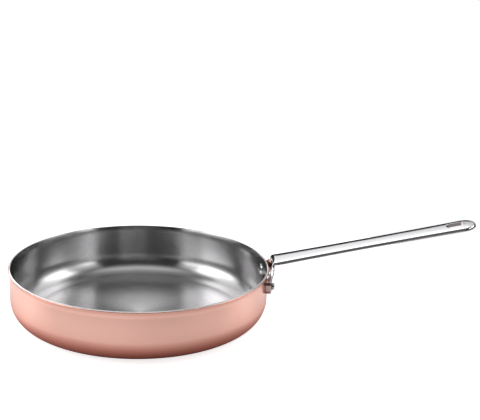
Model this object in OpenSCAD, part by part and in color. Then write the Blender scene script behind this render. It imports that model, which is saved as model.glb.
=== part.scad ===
// Saute pan: a clad copper body lined with steel, and a long steel handle
// whose forked end is held to the wall by two rivets.
// The origin is the centre of the underside, +Z is up, and the handle runs along +X.

/* [Pan body] */
// Outside diameter of the wall below the lip
pan_d = 260; // [220:1:320]
// Height of the rim above the table
pan_h = 55; // [50:1:90]
// Outside radius where the wall turns into the base
corner_r = 24; // [14:0.5:30]
// Radius of the outward curve under the rim
lip_bend_r = 15.6; // [12:0.1:24]
// How far the wall leans out at the rim, in degrees
lip_angle = 21; // [10:1:24]
// How much flatter the edge of the rim is than a half round
rim_ease = 0.2; // [0.1:0.05:0.5]

/* [Clad layers] */
// Thickness of the copper outside
copper_t = 0.8; // [0.5:0.1:1.2]
// Thickness of the aluminium between the copper and the steel
core_t = 1.1; // [0.8:0.1:2]
// Thickness of the steel inside
liner_t = 0.5; // [0.4:0.1:1]

/* [Handle bar] */
// Length of the bar from the bend to the tip
bar_len = 205.5; // [150:0.5:260]
// Width of the bar at its ends
bar_w = 28; // [24:0.5:34]
// Width of the bar at its waist
waist_w = 25.2; // [20:0.2:27]
// Thickness of the bar
bar_t = 4.2; // [3.6:0.1:6]
// Rise of the bar above the horizontal, in degrees
bar_pitch = 11.7; // [5:0.1:20]
// Width of the rounding along the bar's upper edges
edge_w = 2.6; // [1.8:0.1:4]
// Drop of the rounding along the bar's upper edges
edge_drop = 1.2; // [0.6:0.1:1.6]
// Width of the rounding along the bar's lower edges
under_w = 2.2; // [1.8:0.1:4]
// Rise of the rounding along the bar's lower edges
under_rise = 0.9; // [0.5:0.1:1.4]

/* [Hanging slot] */
// Length of the slot
slot_l = 20.6; // [18:0.2:30]
// Width of the slot
slot_w = 13.6; // [10:0.2:16]
// Metal between the slot and the tip
slot_end_wall = 9.2; // [6:0.1:14]
// Width of the bevel round the slot's mouths
slot_bevel = 0.6; // [0.3:0.1:0.8]

/* [Fork] */
// Height of the bar's top above the rim, over the middle of the bend
bar_rise = 9.2; // [7:0.1:16]
// Distance from the wall to the fork, at the middle of the fork
fork_reach = 4.7; // [4:0.1:8]
// Thickness of the fork
fork_t = 2.7; // [2:0.1:3.4]
// Inside radius of the bend, on the side of the pan
bend_r = 4; // [3:0.1:6]
// Radius of the hollow under the bar
crook_r = 3.5; // [2.5:0.1:6]
// Width of each foot
foot_w = 13; // [11:0.5:16]
// Height of each foot
foot_h = 14; // [12:0.5:18]
// Thickness of each foot, from the wall out
foot_t = 5.6; // [4.6:0.1:7]
// Rounding of the corners of a foot
foot_round = 4.5; // [3:0.1:5]
// How far the fork's edges stand back from the edges of the feet
fork_inset = 0.8; // [0.5:0.1:1.2]
// Height of the plate between the bend and the arch, at the middle of the fork
web_h = 10; // [7:0.5:12]

/* [Rivets] */
// Distance between the two rivets, along a straight line at the wall
rivet_pitch = 50; // [44:0.5:60]
// Distance from the rim down to the rivets
rivet_drop = 12.5; // [11:0.1:16]
// Diameter of a rivet's shank
shank_d = 5; // [4:0.1:6]
// Clearance round the shank in its holes
rivet_fit = 0.05; // [0.02:0.01:0.15]
// Diameter of the domed head inside the pan
head_d = 11.8; // [9:0.1:12.5]
// Height of the domed head
head_h = 2.8; // [2:0.1:3.4]
// Height of the plain band round the domed head
head_band = 0.5; // [0.3:0.1:0.8]
// Diameter of the flat head outside the foot
tail_d = 6.6; // [6.2:0.1:8]
// Height of the flat head
tail_h = 3.1; // [2:0.1:4]
// Bevel round the end of the flat head
tail_bevel = 0.5; // [0.2:0.1:0.8]
// Width of the flat ring round the flat head
seat_ring = 1; // [0.6:0.1:1.4]
// Depth to which the flat head's seat is sunk into the foot
seat_sink = 0.3; // [0.2:0.1:0.6]

/* [Hidden] */
$fn = 128;
// Steps in each small arc of an outline
arc_steps = 10;
// How far a cut runs past the face that it opens
overrun = 1;

// Wall and rim
pan_r = pan_d / 2;
wall_t = copper_t + core_t + liner_t;
rim_round = wall_t / 2 + rim_ease;
lip_c_r = pan_r + lip_bend_r;
lip_mid_r = lip_bend_r + wall_t / 2;
lip_z = pan_h - rim_round - lip_mid_r * sin(lip_angle);

// Rivets
rivet_z = pan_h - rivet_drop;
rivet_angle = asin(rivet_pitch / 2 / pan_r);
hole_r = shank_d / 2 + rivet_fit;
liner_r = pan_r - wall_t;
foot_r = pan_r + foot_t;
seat_r = foot_r - seat_sink;

// The fork is part of a wide upright tube whose middle layer runs through both feet
fork_x = pan_r + fork_reach;
foot_mid_r = foot_r - fork_t / 2;
foot_mid_x = foot_mid_r * cos(rivet_angle);
foot_mid_y = foot_mid_r * sin(rivet_angle);
fork_sag = fork_x + fork_t / 2 - foot_mid_x;
fork_mid_r = (foot_mid_y * foot_mid_y + fork_sag * fork_sag) / (2 * fork_sag);
fork_c_x = fork_x + fork_t / 2 - fork_mid_r;
fork_half_w = foot_mid_y + foot_w / 2 - fork_inset;

// Bend and bar: the bar's own frame starts on its top, over the middle of the bend
bar_x = fork_x + bend_r;
bar_z = pan_h + bar_rise;
bend_z = bar_z - bend_r / cos(bar_pitch);
crook_x = fork_x + fork_t + crook_r;
crook_z = bar_z + (crook_x - bar_x) * tan(bar_pitch) - (bar_t + crook_r) / cos(bar_pitch);
// The fork's own piece of the bar ends past the hollow, where the rest of the bar starts
join_u = crook_r + fork_t;
tip_u = bar_len - bar_w / 2;
waist_u = (join_u + tip_u) / 2;
waist_sag = (bar_w - waist_w) / 2;

// Outline of the fork
fork_round = foot_round - fork_inset;
fork_low_z = rivet_z - foot_h / 2 + fork_inset;
wing_z = rivet_z + foot_h / 2 - foot_round;
wing_y = fork_half_w - fork_round;
wing_dy = wing_y - bar_w / 2;
// The wings start a little below the bend
wing_top_z = bend_z - fork_inset;
wing_dz = wing_top_z - wing_z;
wing_span = sqrt(wing_dy * wing_dy + wing_dz * wing_dz);
// The wing's upper edge leaves the bar's corner and runs on as a tangent of the foot's corner
wing_tilt = atan2(wing_dz, wing_dy) - asin(fork_round / wing_span);
// The arch's sides stand on the heels of the fork, where the rounding of its corners starts
arch_y = foot_mid_y - foot_w / 2 + fork_inset;
heel_z = fork_low_z + fork_round;
arch_round = bend_z - web_h - heel_z;

// Points along part of a circle, from one direction to another
function arc(x, y, r, from, to) = [
    for (i = [0 : arc_steps])
        let (a = from + (to - from) * i / arc_steps)
        [x + r * cos(a), y + r * sin(a)]
];

// Height of the bar's top above the table at a distance along X
function bar_top(x) = bar_z + (x - bar_x) * tan(bar_pitch);

// Everything that the pan's surface holds, at a depth below the outside, as a half section
module pan_fill(depth) {
    difference() {
        union() {
            translate([0, depth])
                square([pan_r - corner_r, pan_h]);
            translate([0, corner_r])
                square([lip_c_r, pan_h]);
            translate([pan_r - corner_r, corner_r])
                circle(r = corner_r - depth);
        }
        translate([pan_r - depth, 0])
            square([lip_c_r, lip_z]);
        translate([lip_c_r, lip_z])
            circle(r = lip_bend_r + depth);
    }
}

// What stays of the wall below its rounded edge
module below_rim() {
    translate([lip_c_r, lip_z])
        rotate(-lip_angle) {
            translate([-pan_d, -pan_d])
                square([2 * pan_d, pan_d]);
            translate([-lip_mid_r, 0])
                circle(r = rim_round);
        }
}

// One layer of the wall and base, between two depths, with the rivets' holes
module layer(from, to) {
    difference() {
        rotate_extrude()
            intersection() {
                difference() {
                    pan_fill(from);
                    pan_fill(to);
                }
                below_rim();
            }
        rivet_holes();
    }
}

// Puts a piece on the axis of one rivet, with its own Z pointing out of the pan
module at_rivet(side) {
    rotate([0, 0, side * rivet_angle])
        translate([0, 0, rivet_z])
            rotate([0, 90, 0])
                children();
}

module rivet_holes() {
    for (side = [-1, 1])
        at_rivet(side)
            translate([0, 0, liner_r - head_h])
                cylinder(h = foot_r + tail_h - liner_r + head_h, r = hole_r);
}

module copper_shell() {
    color([0.84, 0.55, 0.46])
        layer(0, copper_t);
}

module aluminium_core() {
    color([0.80, 0.81, 0.83])
        layer(copper_t, copper_t + core_t);
}

module steel_liner() {
    color([0.62, 0.62, 0.64])
        layer(copper_t + core_t, wall_t);
}

// The rounding of an upper edge of the bar, from its flat top down to its side
function edge_arc() =
    let (r = (edge_w * edge_w + edge_drop * edge_drop) / (2 * edge_drop))
    arc(bar_w / 2 - edge_w, -r, r, 90, 90 - asin(edge_w / r));

// The rounding of a lower edge of the bar, from its side in to its flat underside
function under_arc() =
    let (r = (under_w * under_w + under_rise * under_rise) / (2 * under_rise))
    arc(bar_w / 2 - under_w, r - bar_t, r, asin(under_w / r) - 90, -90);

// A right half of an outline and its mirror image, as one ring of points
function both_halves(right) = concat(
    right,
    [for (i = [len(right) - 1 : -1 : 0]) [-right[i][0], right[i][1]]]
);

// Right half of the bar's section, wider than the bar, whose outline gives it its sides
function section_half() = concat(
    edge_arc(),
    [[bar_w, -edge_drop], [bar_w, under_rise - bar_t]],
    under_arc()
);

// Places a piece in the bar's own frame: along it, across it and up out of its top
module in_bar_frame() {
    translate([bar_x, 0, bar_z])
        rotate([0, -bar_pitch, 0])
            children();
}

// Half width of the bar at a distance along it
function half_width(u) = waist_w / 2 + waist_sag * pow((u - waist_u) / (tip_u - waist_u), 2);

// The bar seen from above: slightly waisted, with a round tip
module bar_outline() {
    side = [
        for (i = [0 : 2 * arc_steps])
            let (u = join_u + (tip_u - join_u) * i / (2 * arc_steps))
            [u, half_width(u)]
    ];
    tip = arc(tip_u, 0, bar_w / 2, 90, 0);
    left = concat(side, tip);
    right = [for (i = [len(left) - 2 : -1 : 0]) [left[i][0], -left[i][1]]];
    polygon(concat(left, right));
}

module bar() {
    intersection() {
        translate([0, 0, -bar_t - overrun])
            linear_extrude(bar_t + 2 * overrun)
                bar_outline();
        union() {
            translate([join_u, 0, 0])
                rotate([90, 0, 90])
                    linear_extrude(tip_u - join_u)
                        polygon(both_halves(section_half()));
            translate([tip_u, 0, 0])
                rotate([0, 0, -90])
                    rotate_extrude(angle = 180)
                        polygon(concat([[0, 0]], section_half(), [[0, -bar_t]]));
        }
    }
}

module slot_outline() {
    run = slot_l - slot_w;
    for (end = [-1, 1])
        translate([end * run / 2, 0])
            circle(d = slot_w);
    square([run, slot_w], center = true);
}

// A bevel at one mouth of the slot, widening towards its own +Z
module slot_mouth() {
    run = slot_l - slot_w;
    depth = slot_bevel + overrun;
    for (end = [-1, 1])
        translate([end * run / 2, 0, -slot_bevel])
            cylinder(h = depth, r1 = slot_w / 2, r2 = slot_w / 2 + depth);
    rotate([90, 0, 90])
        translate([0, 0, -run / 2])
            linear_extrude(run)
                polygon([
                    [-slot_w / 2, -slot_bevel],
                    [slot_w / 2, -slot_bevel],
                    [slot_w / 2 + depth, overrun],
                    [-slot_w / 2 - depth, overrun]
                ]);
}

module slot() {
    translate([bar_len - slot_end_wall - slot_l / 2, 0, 0]) {
        translate([0, 0, -bar_t - overrun])
            linear_extrude(bar_t + 2 * overrun)
                slot_outline();
        slot_mouth();
        translate([0, 0, -bar_t])
            mirror([0, 0, 1])
                slot_mouth();
    }
}

// Side view of the fork, the bend and the root of the bar, from the fork's own axis
module fork_profile(end_x) {
    bend = arc(bar_x, bend_z, bend_r, 180, 90 + bar_pitch);
    crook = arc(crook_x, crook_z, crook_r, 90 + bar_pitch, 180);
    top = bar_top(end_x);
    translate([-fork_c_x, 0])
        polygon(concat(
            [[fork_x, fork_low_z]],
            bend,
            [[end_x, top], [end_x, top - bar_t / cos(bar_pitch)]],
            crook,
            [[fork_x + fork_t, fork_low_z]]
        ));
}

// End view of the fork: a plate as wide as the bar that spreads to both feet over an arch
module fork_outline() {
    corner = arc(wing_y, wing_z, fork_round, 90 - wing_tilt, 0);
    heel = arc(arch_y + fork_round, heel_z, fork_round, -90, -180);
    arch = arc(arch_y - arch_round, heel_z, arch_round, 0, 90);
    polygon(both_halves(concat(
        [[bar_w / 2, bar_z + bar_w], [bar_w / 2, wing_top_z]],
        corner,
        [[fork_half_w, rivet_z], [foot_mid_y, rivet_z], [foot_mid_y, fork_low_z]],
        heel,
        arch
    )));
}

// The space below the bar's rounded top and behind its join, which the bend and the fork stay in
module under_bar_top() {
    open = fork_half_w + foot_w;
    in_bar_frame()
        translate([join_u - 2 * bar_w, 0, 0])
            rotate([90, 0, 90])
                linear_extrude(2 * bar_w)
                    polygon(both_halves(concat(edge_arc(), [[open, -edge_drop], [open, -bar_z]])));
}

module fork() {
    turn = 2 * asin(min(1, (fork_half_w + foot_w) / fork_mid_r));
    intersection() {
        translate([fork_c_x, 0, 0])
            rotate([0, 0, -turn / 2])
                rotate_extrude(angle = turn)
                    fork_profile(bar_x + 2 * join_u);
        rotate([90, 0, 90])
            linear_extrude(2 * pan_d)
                fork_outline();
        under_bar_top();
    }
}

// One foot: a thick pad that lies on the wall round its rivet
module foot(side) {
    turn = 2 * asin(foot_w / pan_r);
    half_w = foot_w / 2 - foot_round;
    half_h = foot_h / 2 - foot_round;
    outline = concat(
        arc(half_w, half_h, foot_round, 90, 0),
        arc(half_w, -half_h, foot_round, 0, -90),
        arc(-half_w, -half_h, foot_round, -90, -180),
        arc(-half_w, half_h, foot_round, 180, 90)
    );
    rotate([0, 0, side * rivet_angle])
        translate([0, 0, rivet_z])
            intersection() {
                rotate([0, 0, -turn / 2])
                    rotate_extrude(angle = turn)
                        translate([pan_r, -foot_h])
                            square([foot_t, 2 * foot_h]);
                rotate([90, 0, 90])
                    linear_extrude(2 * pan_d)
                        polygon(outline);
            }
}

// A flat seat for a rivet's outer head, sunk a little into the foot
module seat(side) {
    at_rivet(side)
        translate([0, 0, seat_r])
            cylinder(h = fork_t + tail_h, d = tail_d + 2 * seat_ring);
}

module handle() {
    color([0.78, 0.79, 0.81])
        difference() {
            union() {
                in_bar_frame()
                    bar();
                difference() {
                    fork();
                    cylinder(h = pan_h, r = pan_r + foot_t - fork_t);
                }
                for (side = [-1, 1])
                    foot(side);
            }
            in_bar_frame()
                slot();
            rivet_holes();
            for (side = [-1, 1])
                seat(side);
        }
}

// One rivet: a domed head that lies on the liner, a shank and a flat head on the foot
module rivet(side) {
    dome_h = head_h - head_band;
    dome_r = (head_d * head_d / 4 + dome_h * dome_h) / (2 * dome_h);
    color([0.70, 0.71, 0.72]) {
        intersection() {
            at_rivet(side)
                translate([0, 0, liner_r - head_h])
                    intersection() {
                        translate([0, 0, dome_r])
                            sphere(r = dome_r);
                        cylinder(h = 2 * head_h, d = head_d);
                    }
            cylinder(h = pan_h, r = liner_r);
        }
        at_rivet(side) {
            translate([0, 0, liner_r - head_band])
                cylinder(h = seat_r - liner_r + head_band + tail_bevel, d = shank_d);
            translate([0, 0, seat_r])
                cylinder(h = tail_h - tail_bevel, d = tail_d);
            translate([0, 0, seat_r + tail_h - tail_bevel])
                cylinder(h = tail_bevel, d1 = tail_d, d2 = tail_d - 2 * tail_bevel);
        }
    }
}

module rivet_left() {
    rivet(-1);
}

module rivet_right() {
    rivet(1);
}

copper_shell();
aluminium_core();
steel_liner();
handle();
rivet_left();
rivet_right();
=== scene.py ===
import math

import bpy
import numpy as np
from mathutils import Matrix, Vector, geometry


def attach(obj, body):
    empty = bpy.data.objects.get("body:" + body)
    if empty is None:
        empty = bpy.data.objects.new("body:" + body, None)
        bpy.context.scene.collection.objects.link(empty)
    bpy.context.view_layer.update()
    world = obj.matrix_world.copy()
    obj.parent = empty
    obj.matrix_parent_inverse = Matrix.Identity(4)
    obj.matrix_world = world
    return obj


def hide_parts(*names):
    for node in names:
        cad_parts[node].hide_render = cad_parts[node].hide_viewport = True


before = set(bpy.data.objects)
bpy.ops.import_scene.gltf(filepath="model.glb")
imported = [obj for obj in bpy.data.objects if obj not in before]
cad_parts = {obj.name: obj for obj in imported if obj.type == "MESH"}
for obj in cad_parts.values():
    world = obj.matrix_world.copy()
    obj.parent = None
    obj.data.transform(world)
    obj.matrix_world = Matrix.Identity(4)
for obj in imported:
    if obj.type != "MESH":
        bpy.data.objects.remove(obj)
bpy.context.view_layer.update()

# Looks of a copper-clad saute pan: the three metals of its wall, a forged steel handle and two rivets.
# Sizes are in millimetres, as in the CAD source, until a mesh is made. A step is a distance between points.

MM = 0.001
SAME_POINT = 1e-4
NEAR_ZERO = 1e-6

# Pan body
PAN_R = 130.0
PAN_H = 55.0
CORNER_R = 24.0
LIP_BEND_R = 15.6
LIP_ANGLE = math.radians(21)
COPPER_T, CORE_T, LINER_T = 0.8, 1.1, 0.5
WALL_T = COPPER_T + CORE_T + LINER_T
RIM_EASE = 0.2
RIM_ROUND = WALL_T / 2 + RIM_EASE
RIM_CORNER = 0.5
RIM_RISE = math.sqrt(RIM_ROUND**2 - WALL_T**2 / 4)
LIP_X = PAN_R + LIP_BEND_R
LIP_MID_R = LIP_BEND_R + WALL_T / 2
LIP_Z = PAN_H - RIM_ROUND - LIP_MID_R * math.sin(LIP_ANGLE)

# Points of the pan body
LATHE_STEPS = 432
HUB_R = 3.0
BASE_STEP = 8.0
CORNER_STEP = 1.2
WALL_STEP = 3.0
LIP_STEP = 0.6
# Turns of the rim's two corners in degrees, and depths between them
RIM_TURNS = range(0, 91, 10)
RIM_DEPTHS = (0.65, 1.0, 1.4, 1.75)

# Handle bar
BAR_LEN = 205.5
BAR_W = 28.0
WAIST_W = 25.2
BAR_T = 4.2
PITCH = math.radians(11.7)
CROWN = 0.95

# Hanging slot
SLOT_L = 20.6
SLOT_W = 13.6
SLOT_END_WALL = 9.2

# Fork
BAR_RISE = 9.2
FORK_REACH = 4.7
FORK_T = 2.7
BEND_R = 4.0
CROOK_R = 3.5
FOOT_W = 13.0
FOOT_H = 14.0
FOOT_T = 5.6
FOOT_ROUND = 4.5
FOOT_CLEARANCE = 0.02
FORK_INSET = 0.8
WEB_H = 10.0
WING_FILLET = 7.0

# Rounding of the handle's edges as (width, drop), in the bar and in the fork: first for the top's edges,
# then for the other surface's
SLOT_EDGE = (0.45, 0.4)
SLOT_EDGES = ((SLOT_EDGE, SLOT_EDGE), (SLOT_EDGE, SLOT_EDGE))
BAR_EDGES = (((1.6, 3.0), (1.0, 0.8)), ((1.5, 1.1), (1.2, 0.8)))

# Where the bar's edges start to turn into the fork's, and over what length
FORK_BLEND_FROM, FORK_BLEND = -3.0, 12.0
# Height over which the feet turn into the fork
FOOT_BLEND = 5.0
# Length over which the outside of the fork comes up to the crook
CROOK_BLEND = 9.0
# Slide of the other surface's points along the bar, which brings them to the crook, and where it ends
SLIDE, SLIDE_BLEND = 1.48, 15.0
# Length over which the round of the fork fades out in the bar
ROUND_BLEND = 18.0

# Points of the handle
EDGE_STEPS = 7
BAR_STEPS = 46
BAR_FROM = 6.2
TIGHT_STEP = 0.5
ARCH_STEP = 0.6
FOOT_STEP = 0.8
WEB_STEP = 1.0
SLOT_STEP = 1.5
FORK_GRID = 1.6
CROOK_FROM, CROOK_TO, CROOK_GRID = -12.0, -0.3, 0.9
BEND_POINTS = 13
PAST_BEND = (0.6, 1.4, 2.4, 3.8, 5.5, 7.5, 10.0, 13.0, 16.5)
BAR_GRID_FROM, BAR_GRID = 20.5, 4.5
ACROSS_REACH, ACROSS_GRID = 32.4, 1.8
POINT_GAP = 0.7
# Rows of points beside the edges round the slot, and where they begin
EDGE_ROWS = (0.8, 1.8)
SLOT_ROWS_FROM = 160.0

# Rivets
RIVET_PITCH = 50.0
RIVET_DROP = 12.5
RIVET_STEPS = 64
HEAD_D = 11.8
HEAD_H = 2.8
HEAD_BAND = 0.5
HEAD_EDGE = 0.15
HEAD_STEPS = 12
SHANK_R = 2.5
TAIL_D = 6.6
TAIL_H = 3.1
TAIL_BEVEL = 0.5
TAIL_EDGE = 0.1
TAIL_IN, TAIL_FALL = 0.15, 0.02
TAIL_TOP_SHARE = 0.4
SEAT_SINK = 0.3

# Worked out from the sizes above
RIVET_Z = PAN_H - RIVET_DROP
RIVET_ANGLE = math.asin(RIVET_PITCH / 2 / PAN_R)
LINER_R = PAN_R - WALL_T
FOOT_R = PAN_R + FOOT_T
SEAT_R = FOOT_R - SEAT_SINK
FORK_X = PAN_R + FORK_REACH
FOOT_MID_X = (FOOT_R - FORK_T / 2) * math.cos(RIVET_ANGLE)
FOOT_MID_Y = (FOOT_R - FORK_T / 2) * math.sin(RIVET_ANGLE)
FORK_SAG = FORK_X + FORK_T / 2 - FOOT_MID_X
FORK_MID_R = (FOOT_MID_Y**2 + FORK_SAG**2) / (2 * FORK_SAG)
BAR_X = FORK_X + BEND_R
BAR_Z = PAN_H + BAR_RISE
BEND_Z = BAR_Z - BEND_R / math.cos(PITCH)
CROOK_X = FORK_X + FORK_T + CROOK_R
CROOK_Z = BAR_Z + (CROOK_X - BAR_X) * math.tan(PITCH) - (BAR_T + CROOK_R) / math.cos(PITCH)
BEND_TURN = math.pi / 2 - PITCH
BEND_LEN = BEND_R * BEND_TURN
BAR_START = -BEND_R * math.sin(PITCH)
TIP_U = BAR_LEN - BAR_W / 2


def smooth(x):
    """0 below 0, 1 above 1, and smooth between them."""
    x = np.clip(x, 0.0, 1.0)
    return x * x * (3 - 2 * x)


def arc(x, y, r, start, end, step):
    """Points along part of a circle, both ends included, about a step apart. Angles are in degrees."""
    count = max(2, math.ceil(abs(math.radians(end - start)) * r / step))
    turns = [math.radians(start + (end - start) * i / count) for i in range(count + 1)]
    return [(x + r * math.cos(t), y + r * math.sin(t)) for t in turns]


def line(start, end, step):
    """Points along a straight line, both ends included."""
    count = max(1, math.ceil(math.dist(start, end) / step))
    return [tuple(np.array(start) + (np.array(end) - start) * i / count) for i in range(count + 1)]


def joined(*runs):
    """One run of points from several, without the points that repeat."""
    points = []
    for run in runs:
        for p in run:
            if not points or math.dist(p, points[-1]) > SAME_POINT:
                points.append(p)
    return points


# Meshes


def piece(name, points, faces, node, material):
    """A smooth-shaded mesh piece from points in millimetres, which stands for a CAD node."""
    mesh = bpy.data.meshes.new(name)
    mesh.from_pydata([tuple(c * MM for c in p) for p in points], [], faces)
    mesh.update()
    mesh.polygons.foreach_set("use_smooth", [True] * len(mesh.polygons))
    mesh.materials.append(material)
    body = bpy.data.objects.new(name, mesh)
    bpy.context.scene.collection.objects.link(body)
    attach(body, "root")
    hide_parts(node)


def lathe(profile, steps):
    """Points and faces of a (radius, height) profile turned round Z. Both its ends lie on the axis."""
    points, rings, faces = [], [], []
    turns = [2 * math.pi * i / steps for i in range(steps)]
    for r, z in profile:
        first = len(points)
        if r < NEAR_ZERO:
            points.append((0, 0, z))
            rings.append([first] * steps)
        else:
            points += [(r * math.cos(t), r * math.sin(t), z) for t in turns]
            rings.append(list(range(first, first + steps)))
    for low, high in zip(rings, rings[1:]):
        for i in range(steps):
            j = (i + 1) % steps
            ring = [low[i], low[j], high[j], high[i]]
            faces.append(list(dict.fromkeys(ring)))
    return points, faces


def rim_point(depth):
    """Point of the rim's edge at a depth below the outside. The edge is square, with round corners."""
    past = max(0, abs(depth - WALL_T / 2) - WALL_T / 2 + RIM_CORNER)
    rise = RIM_RISE + math.sqrt(RIM_CORNER**2 - past**2)
    bend_r = LIP_BEND_R + depth
    return (
        LIP_X - bend_r * math.cos(LIP_ANGLE) + rise * math.sin(LIP_ANGLE),
        LIP_Z + bend_r * math.sin(LIP_ANGLE) + rise * math.cos(LIP_ANGLE),
    )


def surface(depth):
    """Profile of the clad sheet's surface at a depth below its outside, from the axis to the rim's edge."""
    corner = PAN_R - CORNER_R
    return joined(
        [(0, depth), (HUB_R, depth)],
        line((HUB_R, depth), (corner, depth), BASE_STEP),
        arc(corner, CORNER_R, CORNER_R - depth, -90, 0, CORNER_STEP),
        line((PAN_R - depth, CORNER_R), (PAN_R - depth, LIP_Z), WALL_STEP),
        arc(LIP_X, LIP_Z, LIP_BEND_R + depth, 180, 180 - math.degrees(LIP_ANGLE), LIP_STEP),
        [rim_point(depth)],
    )


def clad_layer(name, node, material, outer, inner):
    """One closed layer of the clad sheet between two depths."""
    corner = [RIM_CORNER * (1 - math.cos(math.radians(a))) for a in RIM_TURNS]
    depths = [*corner, *RIM_DEPTHS, *[WALL_T - d for d in reversed(corner)]]
    edge = [rim_point(depth) for depth in depths if outer < depth < inner]
    points, faces = lathe(joined(surface(outer), edge, surface(inner)[::-1]), LATHE_STEPS)
    piece(name, points, faces, node, material)


# Handle: a flat outline of (station, across) is bent along the bar, the bend and the fork, and made thick.
# Stations run along the handle from the start of the bend: the bar's are positive, the fork's negative.


def half_width(u):
    """Half width of the bar at a distance from the middle of the bend."""
    root = CROOK_R + FORK_T
    waist = (root + TIP_U) / 2
    share = (np.maximum(u, root) - waist) / (TIP_U - waist)
    return WAIST_W / 2 + (BAR_W - WAIST_W) / 2 * share**2


def station(u):
    """Station of a point of the bar at a distance from the middle of the bend."""
    return BEND_LEN - BAR_START + u


def fork_outline(bar_end):
    """Half of the fork's outline, from the end of the bar round the foot to the crest of the arch."""
    foot_out = FOOT_MID_Y + FOOT_W / 2
    foot_in = FOOT_MID_Y - FOOT_W / 2
    low = RIVET_Z - FOOT_H / 2 - BEND_Z
    heel = low + FOOT_ROUND
    wing_z = low + FOOT_H - FOOT_ROUND
    half = BAR_W / 2
    across, down = foot_out - FOOT_ROUND - half, -FORK_INSET - wing_z
    tilt = math.atan2(down, across) - math.asin(FOOT_ROUND / math.hypot(across, down))
    tilt_deg = math.degrees(tilt)
    fillet_z = -FORK_INSET + WING_FILLET * (1 - math.sin(tilt)) / math.cos(tilt)
    arch_r = -WEB_H - heel
    run = joined(
        line((half, bar_end), (half, fillet_z), TIGHT_STEP),
        arc(half + WING_FILLET, fillet_z, WING_FILLET, 180, 270 - tilt_deg, TIGHT_STEP),
        arc(foot_out - FOOT_ROUND, wing_z, FOOT_ROUND, 90 - tilt_deg, 0, TIGHT_STEP),
        line((foot_out, wing_z), (foot_out, heel), FOOT_STEP),
        arc(foot_out - FOOT_ROUND, heel, FOOT_ROUND, 0, -90, TIGHT_STEP),
        line((foot_out - FOOT_ROUND, low), (foot_in + FOOT_ROUND, low), FOOT_STEP),
        arc(foot_in + FOOT_ROUND, heel, FOOT_ROUND, -90, -180, TIGHT_STEP),
        arc(foot_in - arch_r, heel, arch_r, 0, 90, ARCH_STEP),
        line((foot_in - arch_r, heel + arch_r), (0, heel + arch_r), WEB_STEP),
    )
    return [(s, y) for y, s in run]


def outline():
    """The handle's whole outline, as one loop."""
    tip = arc(station(TIP_U), 0, BAR_W / 2, 0, 90, ARCH_STEP)
    bar = [(float(station(u)), float(half_width(u))) for u in np.linspace(TIP_U, BAR_FROM, BAR_STEPS)]
    half = joined(tip, bar, fork_outline(bar[-1][0]))
    return np.array(half + [(s, -y) for s, y in half[-2:0:-1]])


def slot_loop():
    """The hanging slot's outline, turning the other way."""
    run = (SLOT_L - SLOT_W) / 2
    middle = station(BAR_LEN - SLOT_END_WALL - SLOT_L / 2)
    r = SLOT_W / 2
    loop = joined(
        arc(middle + run, 0, r, 90, -90, TIGHT_STEP),
        line((middle + run, -r), (middle - run, -r), SLOT_STEP),
        arc(middle - run, 0, r, 270, 90, TIGHT_STEP),
        line((middle - run, r), (middle + run, r), SLOT_STEP),
    )
    return np.array(loop[:-1])


def fork_weight(s):
    """1 in the fork, 0 in the bar."""
    return 1 - smooth((s - FORK_BLEND_FROM) / FORK_BLEND)


def foot_weight(z):
    """1 at the feet, 0 above them."""
    return 1 - smooth((z - RIVET_Z - FOOT_H / 2) / FOOT_BLEND + 0.5)


def side_view(s, u):
    """Both surfaces at the middle of the handle, as X and Z of the top and of the other."""
    turn = math.pi - np.clip(s / BEND_LEN, 0, 1) * BEND_TURN
    cos_p, sin_p = math.cos(PITCH), math.sin(PITCH)
    in_bar = s > BEND_LEN
    in_fork = s < 0
    drop = (BEND_Z - CROOK_Z) * smooth((s + CROOK_BLEND) / CROOK_BLEND)
    back_u = u + SLIDE * (1 - smooth((u - BAR_START) / SLIDE_BLEND))
    top_x = np.where(in_bar, BAR_X + u * cos_p, BAR_X + BEND_R * np.cos(turn))
    top_z = np.where(in_bar, BAR_Z + u * sin_p, BEND_Z + BEND_R * np.sin(turn))
    back_x = np.where(in_bar, BAR_X + back_u * cos_p + BAR_T * sin_p, CROOK_X + CROOK_R * np.cos(turn))
    back_z = np.where(in_bar, BAR_Z + back_u * sin_p - BAR_T * cos_p, CROOK_Z + CROOK_R * np.sin(turn))
    top_z = np.where(in_fork, BEND_Z + s, top_z)
    back_z = np.where(in_fork, BEND_Z + s - drop, back_z)
    return (top_x, top_z), (back_x, back_z)


def sheet(flat):
    """Both surfaces over points of the flat outline: first the top, which faces the pan in the fork."""
    s, y = flat[:, 0], flat[:, 1]
    u = s - BEND_LEN + BAR_START
    pitch_now = PITCH * smooth(s / BEND_LEN)
    fade = 1 - smooth((u - BAR_START) / ROUND_BLEND)
    radii = ((FORK_MID_R - FORK_T / 2, PAN_R + FOOT_CLEARANCE), (FORK_MID_R + FORK_T / 2, FOOT_R))
    sides = []
    for (x, z), (radius, foot_r) in zip(side_view(s, u), radii):
        sag = (radius - np.sqrt(radius**2 - y**2)) * fade
        foot_x = np.sqrt(foot_r**2 - y**2)
        weight = np.where(s < 0, foot_weight(z), 0)
        bent_x = (x - sag * np.cos(pitch_now)) * (1 - weight) + foot_x * weight
        sides.append(np.stack([bent_x, y, z - sag * np.sin(pitch_now)], axis=-1))
    return sides


def through(both):
    """Unit directions from the handle's top to its other surface."""
    way = both[1] - both[0]
    return way / np.linalg.norm(way, axis=1)[:, None]


def crown(flat, outer):
    """How far the top falls away towards the outline, at points of the flat outline."""
    gap = np.minimum(gap_to(flat, [outer]), BAR_W / 2)
    return CROWN * (1 - gap / (BAR_W / 2)) ** 2 * (1 - fork_weight(flat[:, 0]))


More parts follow.
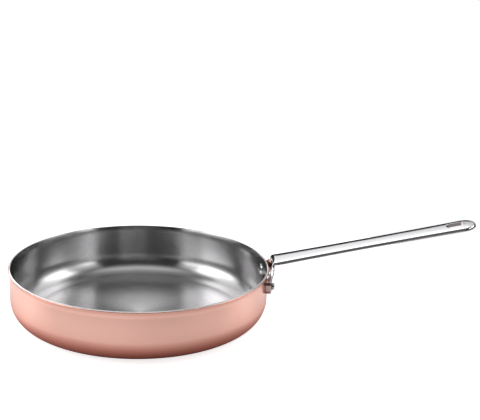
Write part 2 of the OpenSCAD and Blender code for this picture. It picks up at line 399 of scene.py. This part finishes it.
def inward(loop):
    """Unit normals of a loop, pointing into the metal."""
    along = np.roll(loop, -1, axis=0) - np.roll(loop, 1, axis=0)
    along /= np.linalg.norm(along, axis=1)[:, None]
    return np.stack([-along[:, 1], along[:, 0]], axis=1)


def inside(points, loop):
    """Which points lie inside a loop."""
    x, y = points[:, 0][:, None], points[:, 1][:, None]
    a, b = loop, np.roll(loop, -1, axis=0)
    crosses = (a[:, 1] > y) != (b[:, 1] > y)
    with np.errstate(divide="ignore", invalid="ignore"):
        at = (b[:, 0] - a[:, 0]) * (y - a[:, 1]) / (b[:, 1] - a[:, 1]) + a[:, 0]
    return (crosses & (x < at)).sum(axis=1) % 2 == 1


def gap_to(points, loops):
    """Distance from each point to the nearest point of the loops."""
    every = np.concatenate(loops)
    return np.array([np.sqrt(((every - p) ** 2).sum(axis=1)).min() for p in points])


def edge_ring(loop, turn, side, sizes, outer):
    """One ring of an edge's rounding: its points, and the same points laid flat."""
    w = fork_weight(loop[:, 0])
    width, fall = [bar + (fork - bar) * w for bar, fork in zip(*sizes)]
    flat = loop + inward(loop) * (width * (1 - math.sin(turn)))[:, None]
    both = sheet(flat)
    depth = fall * (1 - math.cos(turn))
    if side == 0:
        depth = depth + crown(flat, outer)
    return both[side] + through(both) * (depth if side == 0 else -depth)[:, None], flat


def edge_rings(loop, sizes, outer):
    """All rings round an edge, from the top to the other surface, and its two end rings laid flat."""
    turns = [math.pi / 2 * i / EDGE_STEPS for i in range(EDGE_STEPS + 1)]
    top, back = [[edge_ring(loop, turn, side, sizes[side], outer) for turn in turns] for side in (0, 1)]
    return [points for points, _ in top + back[::-1]], (top[0][1], back[0][1])


def fill_points(outer, holes):
    """Points spread inside the outline: closer where the sheet bends, and in rows beside the slot."""
    stations = np.concatenate([
        np.arange(outer[:, 0].min(), CROOK_FROM, FORK_GRID),
        np.arange(CROOK_FROM, CROOK_TO, CROOK_GRID),
        np.linspace(0, BEND_LEN, BEND_POINTS),
        BEND_LEN + np.array(PAST_BEND),
        np.arange(BEND_LEN + BAR_GRID_FROM, outer[:, 0].max(), BAR_GRID),
    ])
    across = np.arange(-ACROSS_REACH, ACROSS_REACH + ACROSS_GRID / 2, ACROSS_GRID)
    grid = np.array([(s, y) for s in stations for y in across])
    keep = inside(grid, outer)
    for hole in holes:
        keep &= ~inside(grid, hole)
    loops = [outer, *holes]
    rows = np.concatenate([loop + inward(loop) * d for loop in loops for d in EDGE_ROWS])
    rows = rows[rows[:, 0] > station(SLOT_ROWS_FROM)]
    grid = grid[keep]
    grid = grid[gap_to(grid, [*loops, rows]) > POINT_GAP]
    return np.concatenate([grid, rows])


def filled_side(side, bounds, starts, first, outer):
    """Points and faces of one surface between its boundary rings, whose first indices are the starts."""
    extra = fill_points(bounds[0], bounds[1:])
    both = sheet(extra)
    placed = both[side] + (through(both) * crown(extra, outer)[:, None] if side == 0 else 0)
    index = [start + i for start, bound in zip(starts, bounds) for i in range(len(bound))]
    index += range(first, first + len(extra))
    edges, start = [], 0
    for bound in bounds:
        count = len(bound)
        edges += [(start + i, start + (i + 1) % count) for i in range(count)]
        start += count
    flat = [Vector(p) for p in np.concatenate([*bounds, extra])]
    spots, _, triangles, sources, _, _ = geometry.delaunay_2d_cdt(flat, edges, [], 0, NEAR_ZERO)
    middles = np.array([np.mean([spots[i] for i in t], axis=0) for t in triangles])
    keep = inside(middles, bounds[0]) & ~inside(middles, bounds[1])
    faces = [[index[sources[i][0]] for i in t] for ok, t in zip(keep, triangles) if ok]
    return placed, faces if side == 0 else [face[::-1] for face in faces]


def handle_mesh():
    """Points and faces of the whole handle."""
    outer = outline()
    points, faces, starts, flats = [], [], [], []
    for loop, sizes in ((outer, BAR_EDGES), (slot_loop(), SLOT_EDGES)):
        rings, flat = edge_rings(loop, sizes, outer)
        first, count = len(points), len(loop)
        points += [tuple(p) for ring in rings for p in ring]
        for a in range(first, len(points) - count, count):
            turns = [(a + i, a + (i + 1) % count) for i in range(count)]
            faces += [(i, i + count, j + count, j) for i, j in turns]
        starts.append((first, len(points) - count))
        flats.append(flat)
    for side in (0, 1):
        bounds = [flat[side] for flat in flats]
        placed, fill = filled_side(side, bounds, [start[side] for start in starts], len(points), outer)
        points += [tuple(p) for p in placed]
        faces += fill
    return points, faces


def rivet_profile():
    """Rivet from its head in the pan to its head outside, as (radius, distance from the pan's axis)."""
    dome_h = HEAD_H - HEAD_BAND
    dome_r = (HEAD_D**2 / 4 + dome_h**2) / (2 * dome_h)
    start = LINER_R - HEAD_H
    rim = start + dome_h
    turns = [math.asin(HEAD_D / 2 / dome_r) * i / HEAD_STEPS for i in range(HEAD_STEPS)]
    dome = [(dome_r * math.sin(t), start + dome_r * (1 - math.cos(t))) for t in turns]
    head, tail = HEAD_D / 2, TAIL_D / 2
    band = LINER_R + HEAD_EDGE
    end = SEAT_R + TAIL_H
    bevel = end - TAIL_BEVEL
    flat = tail - TAIL_BEVEL
    return joined(
        dome,
        [(head - HEAD_EDGE, rim - HEAD_EDGE / 2), (head, rim + HEAD_EDGE), (head, band), (SHANK_R, band)],
        [(SHANK_R, SEAT_R), (tail - TAIL_EDGE, SEAT_R), (tail, SEAT_R + TAIL_EDGE)],
        [(tail, bevel - TAIL_EDGE), (tail - TAIL_EDGE, bevel + TAIL_EDGE / 2)],
        [(flat + TAIL_EDGE, end - TAIL_EDGE), (flat - TAIL_IN, end - TAIL_FALL)],
        [(tail * TAIL_TOP_SHARE, end), (0, end)],
    )


def rivet(name, side, material):
    """One rivet, on the side of the pan that has that sign of Y."""
    points, faces = lathe(rivet_profile(), RIVET_STEPS)
    turn = Matrix.Rotation(side * RIVET_ANGLE, 4, "Z") @ Matrix.Rotation(math.pi / 2, 4, "Y")
    place = Matrix.Translation((0, 0, RIVET_Z)) @ turn
    points = [tuple(place @ Vector(p)) for p in points]
    piece(name + "_forged", points, faces, name, material)


# Materials

WHITE = (1.0, 1.0, 1.0, 1.0)
# Painted reflection of the copper wall and painted shade on the handle's feet, as a colour, and the heights
# in metres where it begins and where it is full
FEET_PAINTED_REFLECTION = (0.42, 0.32, 0.30, 1.0)
FEET_FROM, FEET_FULL = 0.053, 0.050
# Scratches to a metre, along and across the handle
SCRATCHES = (40.0, 2500.0, 2500.0)
# Scale, detail and roughness of the lines' noise, and detail and roughness of the clouds'
LINE_NOISE = (1.0, 2.0, 0.6)
CLOUD_NOISE = (3.0, 0.55)
CLOUD_SHARE = 0.5
QUARTER_TURN = 0.25
# Each metal's colour, how far it spreads, its roughness from and to, its clouds' size and its lines' depth.
# A turned metal has that many lines to a millimetre and strokes to a turn, the others have fine scratches.
METALS = {
    "satin_copper": dict(
        color=(0.95, 0.575, 0.485), shade=0.04, roughness=(0.23, 0.29), anisotropy=0.6,
        cloud_mm=14.0, bump_mm=0.001, turned=(5.0, 2.0),
    ),
    "bare_aluminium": dict(
        color=(0.86, 0.87, 0.88), shade=0.04, roughness=(0.30, 0.40), anisotropy=0.3,
        cloud_mm=20.0, bump_mm=0.003, turned=(4.0, 3.0),
    ),
    "turned_steel": dict(
        color=(0.57, 0.565, 0.57), shade=0.05, roughness=(0.18, 0.22), anisotropy=0.95,
        cloud_mm=30.0, bump_mm=0.0006, turned=(6.0, 1.5),
    ),
    "polished_steel": dict(
        color=(0.80, 0.80, 0.82), shade=0.02, roughness=(0.06, 0.12), anisotropy=0.0,
        # feet paints a brownish reflection of the copper wall and shade onto the handle's feet
        cloud_mm=20.0, bump_mm=0.0004, feet=True,
    ),
    "rivet_steel": dict(
        color=(0.58, 0.58, 0.58), shade=0.04, roughness=(0.12, 0.20), anisotropy=0.0,
        cloud_mm=5.0, bump_mm=0.0008,
    ),
}


def new_tree(name):
    material = bpy.data.materials.new(name)
    material.use_nodes = True
    tree = material.node_tree
    return material, tree, tree.nodes["Principled BSDF"]


def add(tree, kind, inputs=None, **settings):
    """A new node, with settings on it and values or links on its inputs."""
    made = tree.nodes.new(kind)
    for key, value in settings.items():
        setattr(made, key, value)
    for key, value in (inputs or {}).items():
        if isinstance(value, bpy.types.NodeSocket):
            tree.links.new(value, made.inputs[key])
        else:
            made.inputs[key].default_value = value
    return made


def maths(tree, operation, first, second=0.0):
    return add(tree, "ShaderNodeMath", {0: first, 1: second}, operation=operation).outputs[0]


def times(tree, first, second):
    return maths(tree, "MULTIPLY", first, second)


def vector_maths(tree, operation, inputs, output=0):
    return add(tree, "ShaderNodeVectorMath", inputs, operation=operation).outputs[output]


def object_spot(tree):
    return add(tree, "ShaderNodeTexCoord").outputs["Object"]


def axes(tree, vector):
    """X, Y and Z of a vector."""
    return add(tree, "ShaderNodeSeparateXYZ", {0: vector}).outputs


def noise(tree, vector, scale, detail, roughness, **more):
    """Noise from 0 to 1. Another input W adds a fourth dimension."""
    inputs = {"Vector": vector, "Scale": scale, "Detail": detail, "Roughness": roughness, **more}
    dimensions = "4D" if more else "3D"
    return add(tree, "ShaderNodeTexNoise", inputs, noise_dimensions=dimensions).outputs["Fac"]


def blend(tree, share, first, second, kind="FLOAT"):
    """A value between two others, or a colour where the kind is RGBA."""
    made = add(tree, "ShaderNodeMix", {"Factor": share, "A": first, "B": second}, data_type=kind)
    return made.outputs["Result"]


def turned_lines(tree, per_mm, around):
    """Noise in fine lines round the pan's axis: per_mm lines to a millimetre, a few strokes to a turn."""
    x, y, z = axes(tree, object_spot(tree))
    flat = add(tree, "ShaderNodeCombineXYZ", {0: x, 1: y}).outputs[0]
    radius = vector_maths(tree, "LENGTH", {0: flat}, "Value")
    heading = vector_maths(tree, "NORMALIZE", {0: flat})
    scaled = vector_maths(tree, "SCALE", {0: heading, "Scale": around})
    lift = add(tree, "ShaderNodeCombineXYZ", {2: times(tree, radius, per_mm / MM)}).outputs[0]
    where = vector_maths(tree, "ADD", {0: scaled, 1: lift})
    return noise(tree, where, *LINE_NOISE, W=times(tree, z, per_mm / MM))


def fine_scratches(tree):
    """Hair-fine polishing marks along the handle."""
    long = add(tree, "ShaderNodeMapping", {"Vector": object_spot(tree), "Scale": SCRATCHES}).outputs[0]
    return noise(tree, long, *LINE_NOISE)


def feet_painted_reflection(tree, color):
    """The handle's colour, with a painted brownish reflection of the copper wall and painted shade on the
    feet.
    """
    height = axes(tree, object_spot(tree))[2]
    share = add(tree, "ShaderNodeMapRange", {"Value": height, "From Min": FEET_FROM, "From Max": FEET_FULL})
    return blend(tree, share.outputs["Result"], color, FEET_PAINTED_REFLECTION, "RGBA")


def metal(name, color, shade, roughness, anisotropy, cloud_mm, bump_mm, turned=None, feet=False):
    """A metal whose colour, roughness and bump vary with fine polishing lines and soft clouds."""
    material, tree, shader = new_tree(name)
    grain = turned_lines(tree, *turned) if turned else fine_scratches(tree)
    cloud = noise(tree, object_spot(tree), 1 / (cloud_mm * MM), *CLOUD_NOISE)
    mixed = blend(tree, CLOUD_SHARE, cloud, grain)
    dark, light = [(*[min(1, c * (1 + way * shade)) for c in color], 1) for way in (-1, 1)]
    tone = blend(tree, mixed, dark, light, "RGBA")
    # On the handle's feet the colour takes a painted reflection of the copper wall and painted shade
    tree.links.new(feet_painted_reflection(tree, tone) if feet else tone, shader.inputs["Base Color"])
    smoothest, roughest = roughness
    spread = add(tree, "ShaderNodeMapRange", {"Value": mixed, "To Min": smoothest, "To Max": roughest})
    tree.links.new(spread.outputs["Result"], shader.inputs["Roughness"])
    relief = add(tree, "ShaderNodeBump", {"Height": grain, "Distance": bump_mm * MM, "Strength": 1.0})
    tree.links.new(relief.outputs[0], shader.inputs["Normal"])
    shader.inputs["Metallic"].default_value = 1.0
    shader.inputs["Anisotropic"].default_value = anisotropy
    shader.inputs["Anisotropic Rotation"].default_value = QUARTER_TURN
    if turned:
        around = add(tree, "ShaderNodeTangent", direction_type="RADIAL", axis="Z")
        tree.links.new(around.outputs[0], shader.inputs["Tangent"])
    return material


# Studio: levels by azimuth from the camera, from 0 to 180 degrees, or by elevation, from -90 to 90 degrees

# Highest level that can be given
TOP_LEVEL = 4.0
# Turn of the studio, which faces the camera
HEADING = math.radians(3.05)
DARK = 0.015
ROOM = 0.02
LEFT_BOX = 4.0
RIGHT_BOX = 2.0
BACK_BOX = 2.8
# Dim room behind the camera
ROOM_RISE = ((-90, 0.25), (-6, 0.22), (2, ROOM), (24, ROOM), (30, DARK), (90, DARK))
# Weak light in the middle of that room
MIDDLE_LEVEL = 0.15
MIDDLE_SPAN = ((0, 1.0), (12, 0.9), (20, 0.3), (28, 0.0), (180, 0.0))
MIDDLE_RISE = ((-90, 0.0), (6, 0.0), (12, 1.0), (26, 1.0), (30, 0.0), (90, 0.0))
# Light boxes on both sides, as a low and a high row
LEFT_LOW = (
    (0, 0.0), (40, 0.0), (49, 0.65), (60, 0.68), (70, 1.0), (100, 1.0),
    (112, 0.3), (120, 0.0), (140, 0.0), (150, 1.3), (174, 1.3), (180, 0.8),
)
LEFT_HIGH = (
    (0, 0.0), (40, 0.0), (54, 0.2), (66, 0.22), (80, 1.0), (92, 0.85), (106, 0.35), (140, 0.2), (180, 0.2),
)
RIGHT_LOW = (
    (0, 0.0), (40, 0.05), (47, 1.3), (54, 1.3), (62, 0.7), (70, 0.5), (80, 1.0), (104, 1.1),
    (116, 0.1), (122, 0.0), (146, 0.0), (154, 0.3), (166, 0.2), (172, 0.0), (180, 0.0),
)
RIGHT_HIGH = (
    (0, 0.0), (40, 0.0), (48, 0.3), (76, 0.3), (90, 1.7),
    (102, 1.3), (112, 0.7), (140, 0.4), (152, 0.2), (180, 0.0),
)
LOW_RISE = ((-90, 0.0), (16, 0.0), (19, 0.85), (27, 0.85), (31, 0.0), (90, 0.0))
HIGH_RISE = ((-90, 0.0), (22, 0.0), (30, 1.0), (48, 1.0), (54, 0.1), (90, 0.1))
# Bright wall behind the pan, and how far it reaches on both sides
BACK_RISE = (
    (-90, DARK), (14, DARK), (15.5, 0.84), (19, 0.96), (26, 1.04), (30, 1.2), (35, 2.6),
    (40, BACK_BOX), (46, BACK_BOX), (52, 0.85), (62, 0.6), (70, 0.3), (90, 0.3),
)
BACK_LEFT = ((0, 0.0), (160, 0.0), (170, 0.9), (176, 1.0), (180, 1.0))
BACK_RIGHT = ((0, 0.0), (162, 0.0), (170, 0.82), (176, 1.0), (180, 1.0))
# Ceiling, brighter on the camera's half
CEILING = ((-90, 0.0), (60, 0.0), (66, 1.0), (84, 1.0), (90, 0.4))
CEILING_LEVEL = 0.85
CEILING_BEHIND = 0.3
# The white backdrop behind the pan, which the metal shows too
BACKDROP_RISE = ((-90, 1.0), (-8, 1.0), (-4, 0.0), (90, 0.0))
BACKDROP_SPAN = ((0, 0.0), (150, 0.0), (158, 1.0), (180, 1.0))

# Floor: sizes in metres, then what the camera sees, then what the metal shows of it, which is painted shade,
# a painted copper-tinted bounce and a painted glow
FLOOR_SIDES = 96
FLOOR_R = 0.36
FLOOR_X = 0.04
FLOOR_Z = -0.0002
FLOOR_COLOR = (0.8, 0.8, 0.8, 1.0)
FLOOR_ROUGHNESS = 0.9
FLOOR_GLOW = 0.8
FLOOR_MATT = 0.8
# Painted glow of the floor as the metal shows it
FLOOR_PAINTED_GLOW = 0.34
# Painted copper-tinted bounce light on the floor near the pan
FLOOR_PAINTED_BOUNCE_TINT = (1.0, 0.36, 0.26, 1.0)
# Painted shade along X and Y from the floor's middle, and painted shadow near the pan's axis that dims again
# far from it, in millimetres
FLOOR_REACH = 500.0
FLOOR_PAINTED_SHADE_ALONG = ((-500, 1.1), (-70, 1.08), (0, 0.97), (60, 0.93), (120, 1.0), (500, 1.0))
FLOOR_PAINTED_SHADE_ACROSS = ((-500, 0.90), (-130, 0.90), (-50, 1.28), (0, 1.2), (60, 1.05), (500, 1.05))
FLOOR_PAINTED_SHADOW_NEAR = (
    (0, 0.05), (106, 0.05), (122, 0.28), (145, 0.64), (175, 0.9),
    (200, 1.0), (260, 1.0), (310, 0.35), (1000, 0.35),
)

# Camera: its turns, its distance from the middle of the rim and its shift in the picture's plane, in metres,
# and its sensor and lens in millimetres
CAMERA_RISE = math.radians(16.87)
CAMERA_ROLL = math.radians(1.75)
CAMERA_AWAY = 1.2
CAMERA_RIGHT, CAMERA_UP = 0.1001, 0.0581
SENSOR = 36.0
LENS = 88.70


def ramp(tree, value, stops, low, high):
    """Levels at places between low and high, for a value from 0 to 1."""
    made = add(tree, "ShaderNodeValToRGB", {"Fac": value})
    elements = made.color_ramp.elements
    elements.remove(elements[1])
    for i, (place, level) in enumerate(stops):
        position = (place - low) / (high - low)
        element = elements.new(position) if i else elements[0]
        element.position = position
        element.color = (*[level / TOP_LEVEL] * 3, 1)
    return times(tree, made.outputs["Color"], TOP_LEVEL)


def by_azimuth(tree, azimuth, stops):
    return ramp(tree, azimuth, stops, 0, 180)


def by_elevation(tree, elevation, stops):
    return ramp(tree, elevation, stops, -90, 90)


def direction(tree):
    """A ray's azimuth from the camera and its elevation, from 0 to 1, and 1 where it points to the right."""
    x, y, z = axes(tree, add(tree, "ShaderNodeTexCoord").outputs["Generated"])
    flat = add(tree, "ShaderNodeCombineXYZ", {0: x, 1: y}).outputs[0]
    unit = vector_maths(tree, "NORMALIZE", {0: flat})
    front = (math.sin(HEADING), -math.cos(HEADING), 0)
    side = (math.cos(HEADING), math.sin(HEADING), 0)
    towards = vector_maths(tree, "DOT_PRODUCT", {0: unit, 1: front}, "Value")
    across = vector_maths(tree, "DOT_PRODUCT", {0: unit, 1: side}, "Value")
    azimuth = maths(tree, "DIVIDE", maths(tree, "ARCCOSINE", towards), math.pi)
    elevation = maths(tree, "ADD", maths(tree, "DIVIDE", maths(tree, "ARCSINE", z), math.pi), 0.5)
    return azimuth, elevation, maths(tree, "GREATER_THAN", across, 0.0)


def wall_light(tree, azimuth, elevation, on_right):
    """Level of the light boxes on both sides and of the bright wall between them."""
    boxes = 0.0
    for left, right, rise in ((LEFT_LOW, RIGHT_LOW, LOW_RISE), (LEFT_HIGH, RIGHT_HIGH, HIGH_RISE)):
        bands = blend(tree, on_right, *[by_azimuth(tree, azimuth, stops) for stops in (left, right)])
        boxes = maths(tree, "ADD", boxes, times(tree, bands, by_elevation(tree, elevation, rise)))
    boxes = times(tree, boxes, blend(tree, on_right, LEFT_BOX, RIGHT_BOX))
    reach = blend(tree, on_right, *[by_azimuth(tree, azimuth, stops) for stops in (BACK_LEFT, BACK_RIGHT)])
    return blend(tree, reach, boxes, by_elevation(tree, elevation, BACK_RISE))


def room_light(tree, azimuth, elevation):
    """Level of the ceiling and of the dim room behind the camera."""
    behind = maths(tree, "GREATER_THAN", azimuth, 0.5)
    ceiling_level = blend(tree, behind, CEILING_LEVEL, CEILING_BEHIND)
    ceiling = times(tree, by_elevation(tree, elevation, CEILING), ceiling_level)
    dim = blend(tree, behind, by_elevation(tree, elevation, ROOM_RISE), DARK)
    middle = times(tree, by_azimuth(tree, azimuth, MIDDLE_SPAN), by_elevation(tree, elevation, MIDDLE_RISE))
    dim = maths(tree, "ADD", dim, times(tree, middle, MIDDLE_LEVEL))
    return maths(tree, "MAXIMUM", ceiling, dim)


def studio_world():
    """The studio's light, and the camera's white background, which the metal shows low behind the pan."""
    world = bpy.data.worlds.new("studio")
    bpy.context.scene.world = world
    world.use_nodes = True
    tree = world.node_tree
    tree.nodes.clear()
    azimuth, elevation, on_right = direction(tree)
    walls = wall_light(tree, azimuth, elevation, on_right)
    light = maths(tree, "MAXIMUM", walls, room_light(tree, azimuth, elevation))
    room = add(tree, "ShaderNodeBackground", {"Color": WHITE, "Strength": light}).outputs[0]
    white = add(tree, "ShaderNodeBackground", {"Color": WHITE, "Strength": 1.0}).outputs[0]
    span = by_azimuth(tree, azimuth, BACKDROP_SPAN)
    backdrop = times(tree, span, by_elevation(tree, elevation, BACKDROP_RISE))
    rays = add(tree, "ShaderNodeLightPath").outputs
    shiny = maths(tree, "ADD", rays["Is Glossy Ray"], rays["Is Transmission Ray"])
    seen = maths(tree, "ADD", rays["Is Camera Ray"], times(tree, shiny, backdrop))
    share = maths(tree, "MINIMUM", seen, 1.0)
    both = add(tree, "ShaderNodeMixShader", {0: share, 1: room, 2: white}).outputs[0]
    tree.links.new(both, add(tree, "ShaderNodeOutputWorld").inputs["Surface"])


def floor_painted_shade(tree):
    """What the metal shows of the floor: painted shadow near the pan, painted shade along and across, a
    painted copper-tinted bounce and a painted glow.
    """
    spot = object_spot(tree)
    x, y, _ = axes(tree, spot)
    from_axis = vector_maths(tree, "ADD", {0: spot, 1: (FLOOR_X, 0, 0)})
    away = vector_maths(tree, "LENGTH", {0: from_axis}, "Value")
    painted_shadow = ramp(tree, away, FLOOR_PAINTED_SHADOW_NEAR, 0, 2 * FLOOR_REACH)
    half = FLOOR_REACH * MM
    along = ramp(tree, maths(tree, "ADD", x, half), FLOOR_PAINTED_SHADE_ALONG, -FLOOR_REACH, FLOOR_REACH)
    across = ramp(tree, maths(tree, "ADD", y, half), FLOOR_PAINTED_SHADE_ACROSS, -FLOOR_REACH, FLOOR_REACH)
    # tone is painted shade: along and across the floor, and a painted shadow near the pan
    tone = times(tree, times(tree, along, across), painted_shadow)
    # Painted copper-tinted bounce where the painted shadow is deep
    bounce_tint = blend(tree, painted_shadow, FLOOR_PAINTED_BOUNCE_TINT, WHITE, "RGBA")
    shade = vector_maths(tree, "SCALE", {0: bounce_tint, "Scale": times(tree, tone, FLOOR_MATT)})
    matt = add(tree, "ShaderNodeBsdfDiffuse", {"Color": shade}).outputs[0]
    # Painted glow that follows the painted shade
    strength = times(tree, tone, FLOOR_PAINTED_GLOW)
    painted_glow = add(tree, "ShaderNodeEmission", {"Color": bounce_tint, "Strength": strength}).outputs[0]
    return add(tree, "ShaderNodeAddShader", {0: matt, 1: painted_glow}).outputs[0]


def floor():
    """A pale round table top that shows the pan's soft shadow."""
    material, tree, shader = new_tree("pale_floor")
    shader.inputs["Base Color"].default_value = FLOOR_COLOR
    shader.inputs["Roughness"].default_value = FLOOR_ROUGHNESS
    shader.inputs["Specular IOR Level"].default_value = 0.0
    glow = add(tree, "ShaderNodeEmission", {"Color": WHITE, "Strength": FLOOR_GLOW}).outputs[0]
    lit = add(tree, "ShaderNodeAddShader", {0: shader.outputs[0], 1: glow}).outputs[0]
    seen = add(tree, "ShaderNodeLightPath").outputs["Is Camera Ray"]
    # Rays other than the camera's see the floor's painted shade, bounce and glow
    both = add(tree, "ShaderNodeMixShader", {0: seen, 1: floor_painted_shade(tree), 2: lit}).outputs[0]
    tree.links.new(both, tree.nodes["Material Output"].inputs["Surface"])
    bpy.ops.mesh.primitive_circle_add(
        vertices=FLOOR_SIDES, radius=FLOOR_R, fill_type="NGON", location=(FLOOR_X, 0, FLOOR_Z)
    )
    table = bpy.context.object
    table.name = "floor"
    table.data.materials.append(material)


def camera():
    """The photograph's camera: just under 17 degrees above the table, turned a little in its own plane."""
    right = Vector((1, 0, 0))
    ahead = Vector((0, math.cos(CAMERA_RISE), -math.sin(CAMERA_RISE)))
    up = Vector((0, math.sin(CAMERA_RISE), math.cos(CAMERA_RISE)))
    back = Matrix.Rotation(-HEADING, 3, "Z")
    x = back @ (right * math.cos(CAMERA_ROLL) + up * math.sin(CAMERA_ROLL))
    y = back @ (up * math.cos(CAMERA_ROLL) - right * math.sin(CAMERA_ROLL))
    z = back @ -ahead
    rim = Vector((0, 0, PAN_H * MM))
    place = rim + back @ (right * CAMERA_RIGHT + up * CAMERA_UP - ahead * CAMERA_AWAY)
    data = bpy.data.cameras.new("camera")
    data.sensor_width = SENSOR
    data.lens = LENS
    eye = bpy.data.objects.new("camera", data)
    eye.matrix_world = Matrix.Translation(place) @ Matrix((x, y, z)).transposed().to_4x4()
    bpy.context.scene.collection.objects.link(eye)
    bpy.context.scene.camera = eye


def main():
    looks = {name: metal(name, **values) for name, values in METALS.items()}
    core_in = COPPER_T + CORE_T
    for name, node, slot, look, outer, inner in (
        ("copper_wall", "copper_shell", "copper", "satin_copper", 0.0, COPPER_T),
        ("aluminium_wall", "aluminium_core", "core_aluminium", "bare_aluminium", COPPER_T, core_in),
        ("steel_wall", "steel_liner", "liner_steel", "turned_steel", core_in, WALL_T),
    ):
        clad_layer(name, node, looks[look], outer, inner)
    points, faces = handle_mesh()
    piece("handle_forged", points, faces, "handle", looks["polished_steel"])
    rivet("rivet_left", -1, looks["rivet_steel"])
    rivet("rivet_right", 1, looks["rivet_steel"])
    studio_world()
    floor()
    camera()


main()
bpy.context.scene.view_settings.view_transform = "Standard"
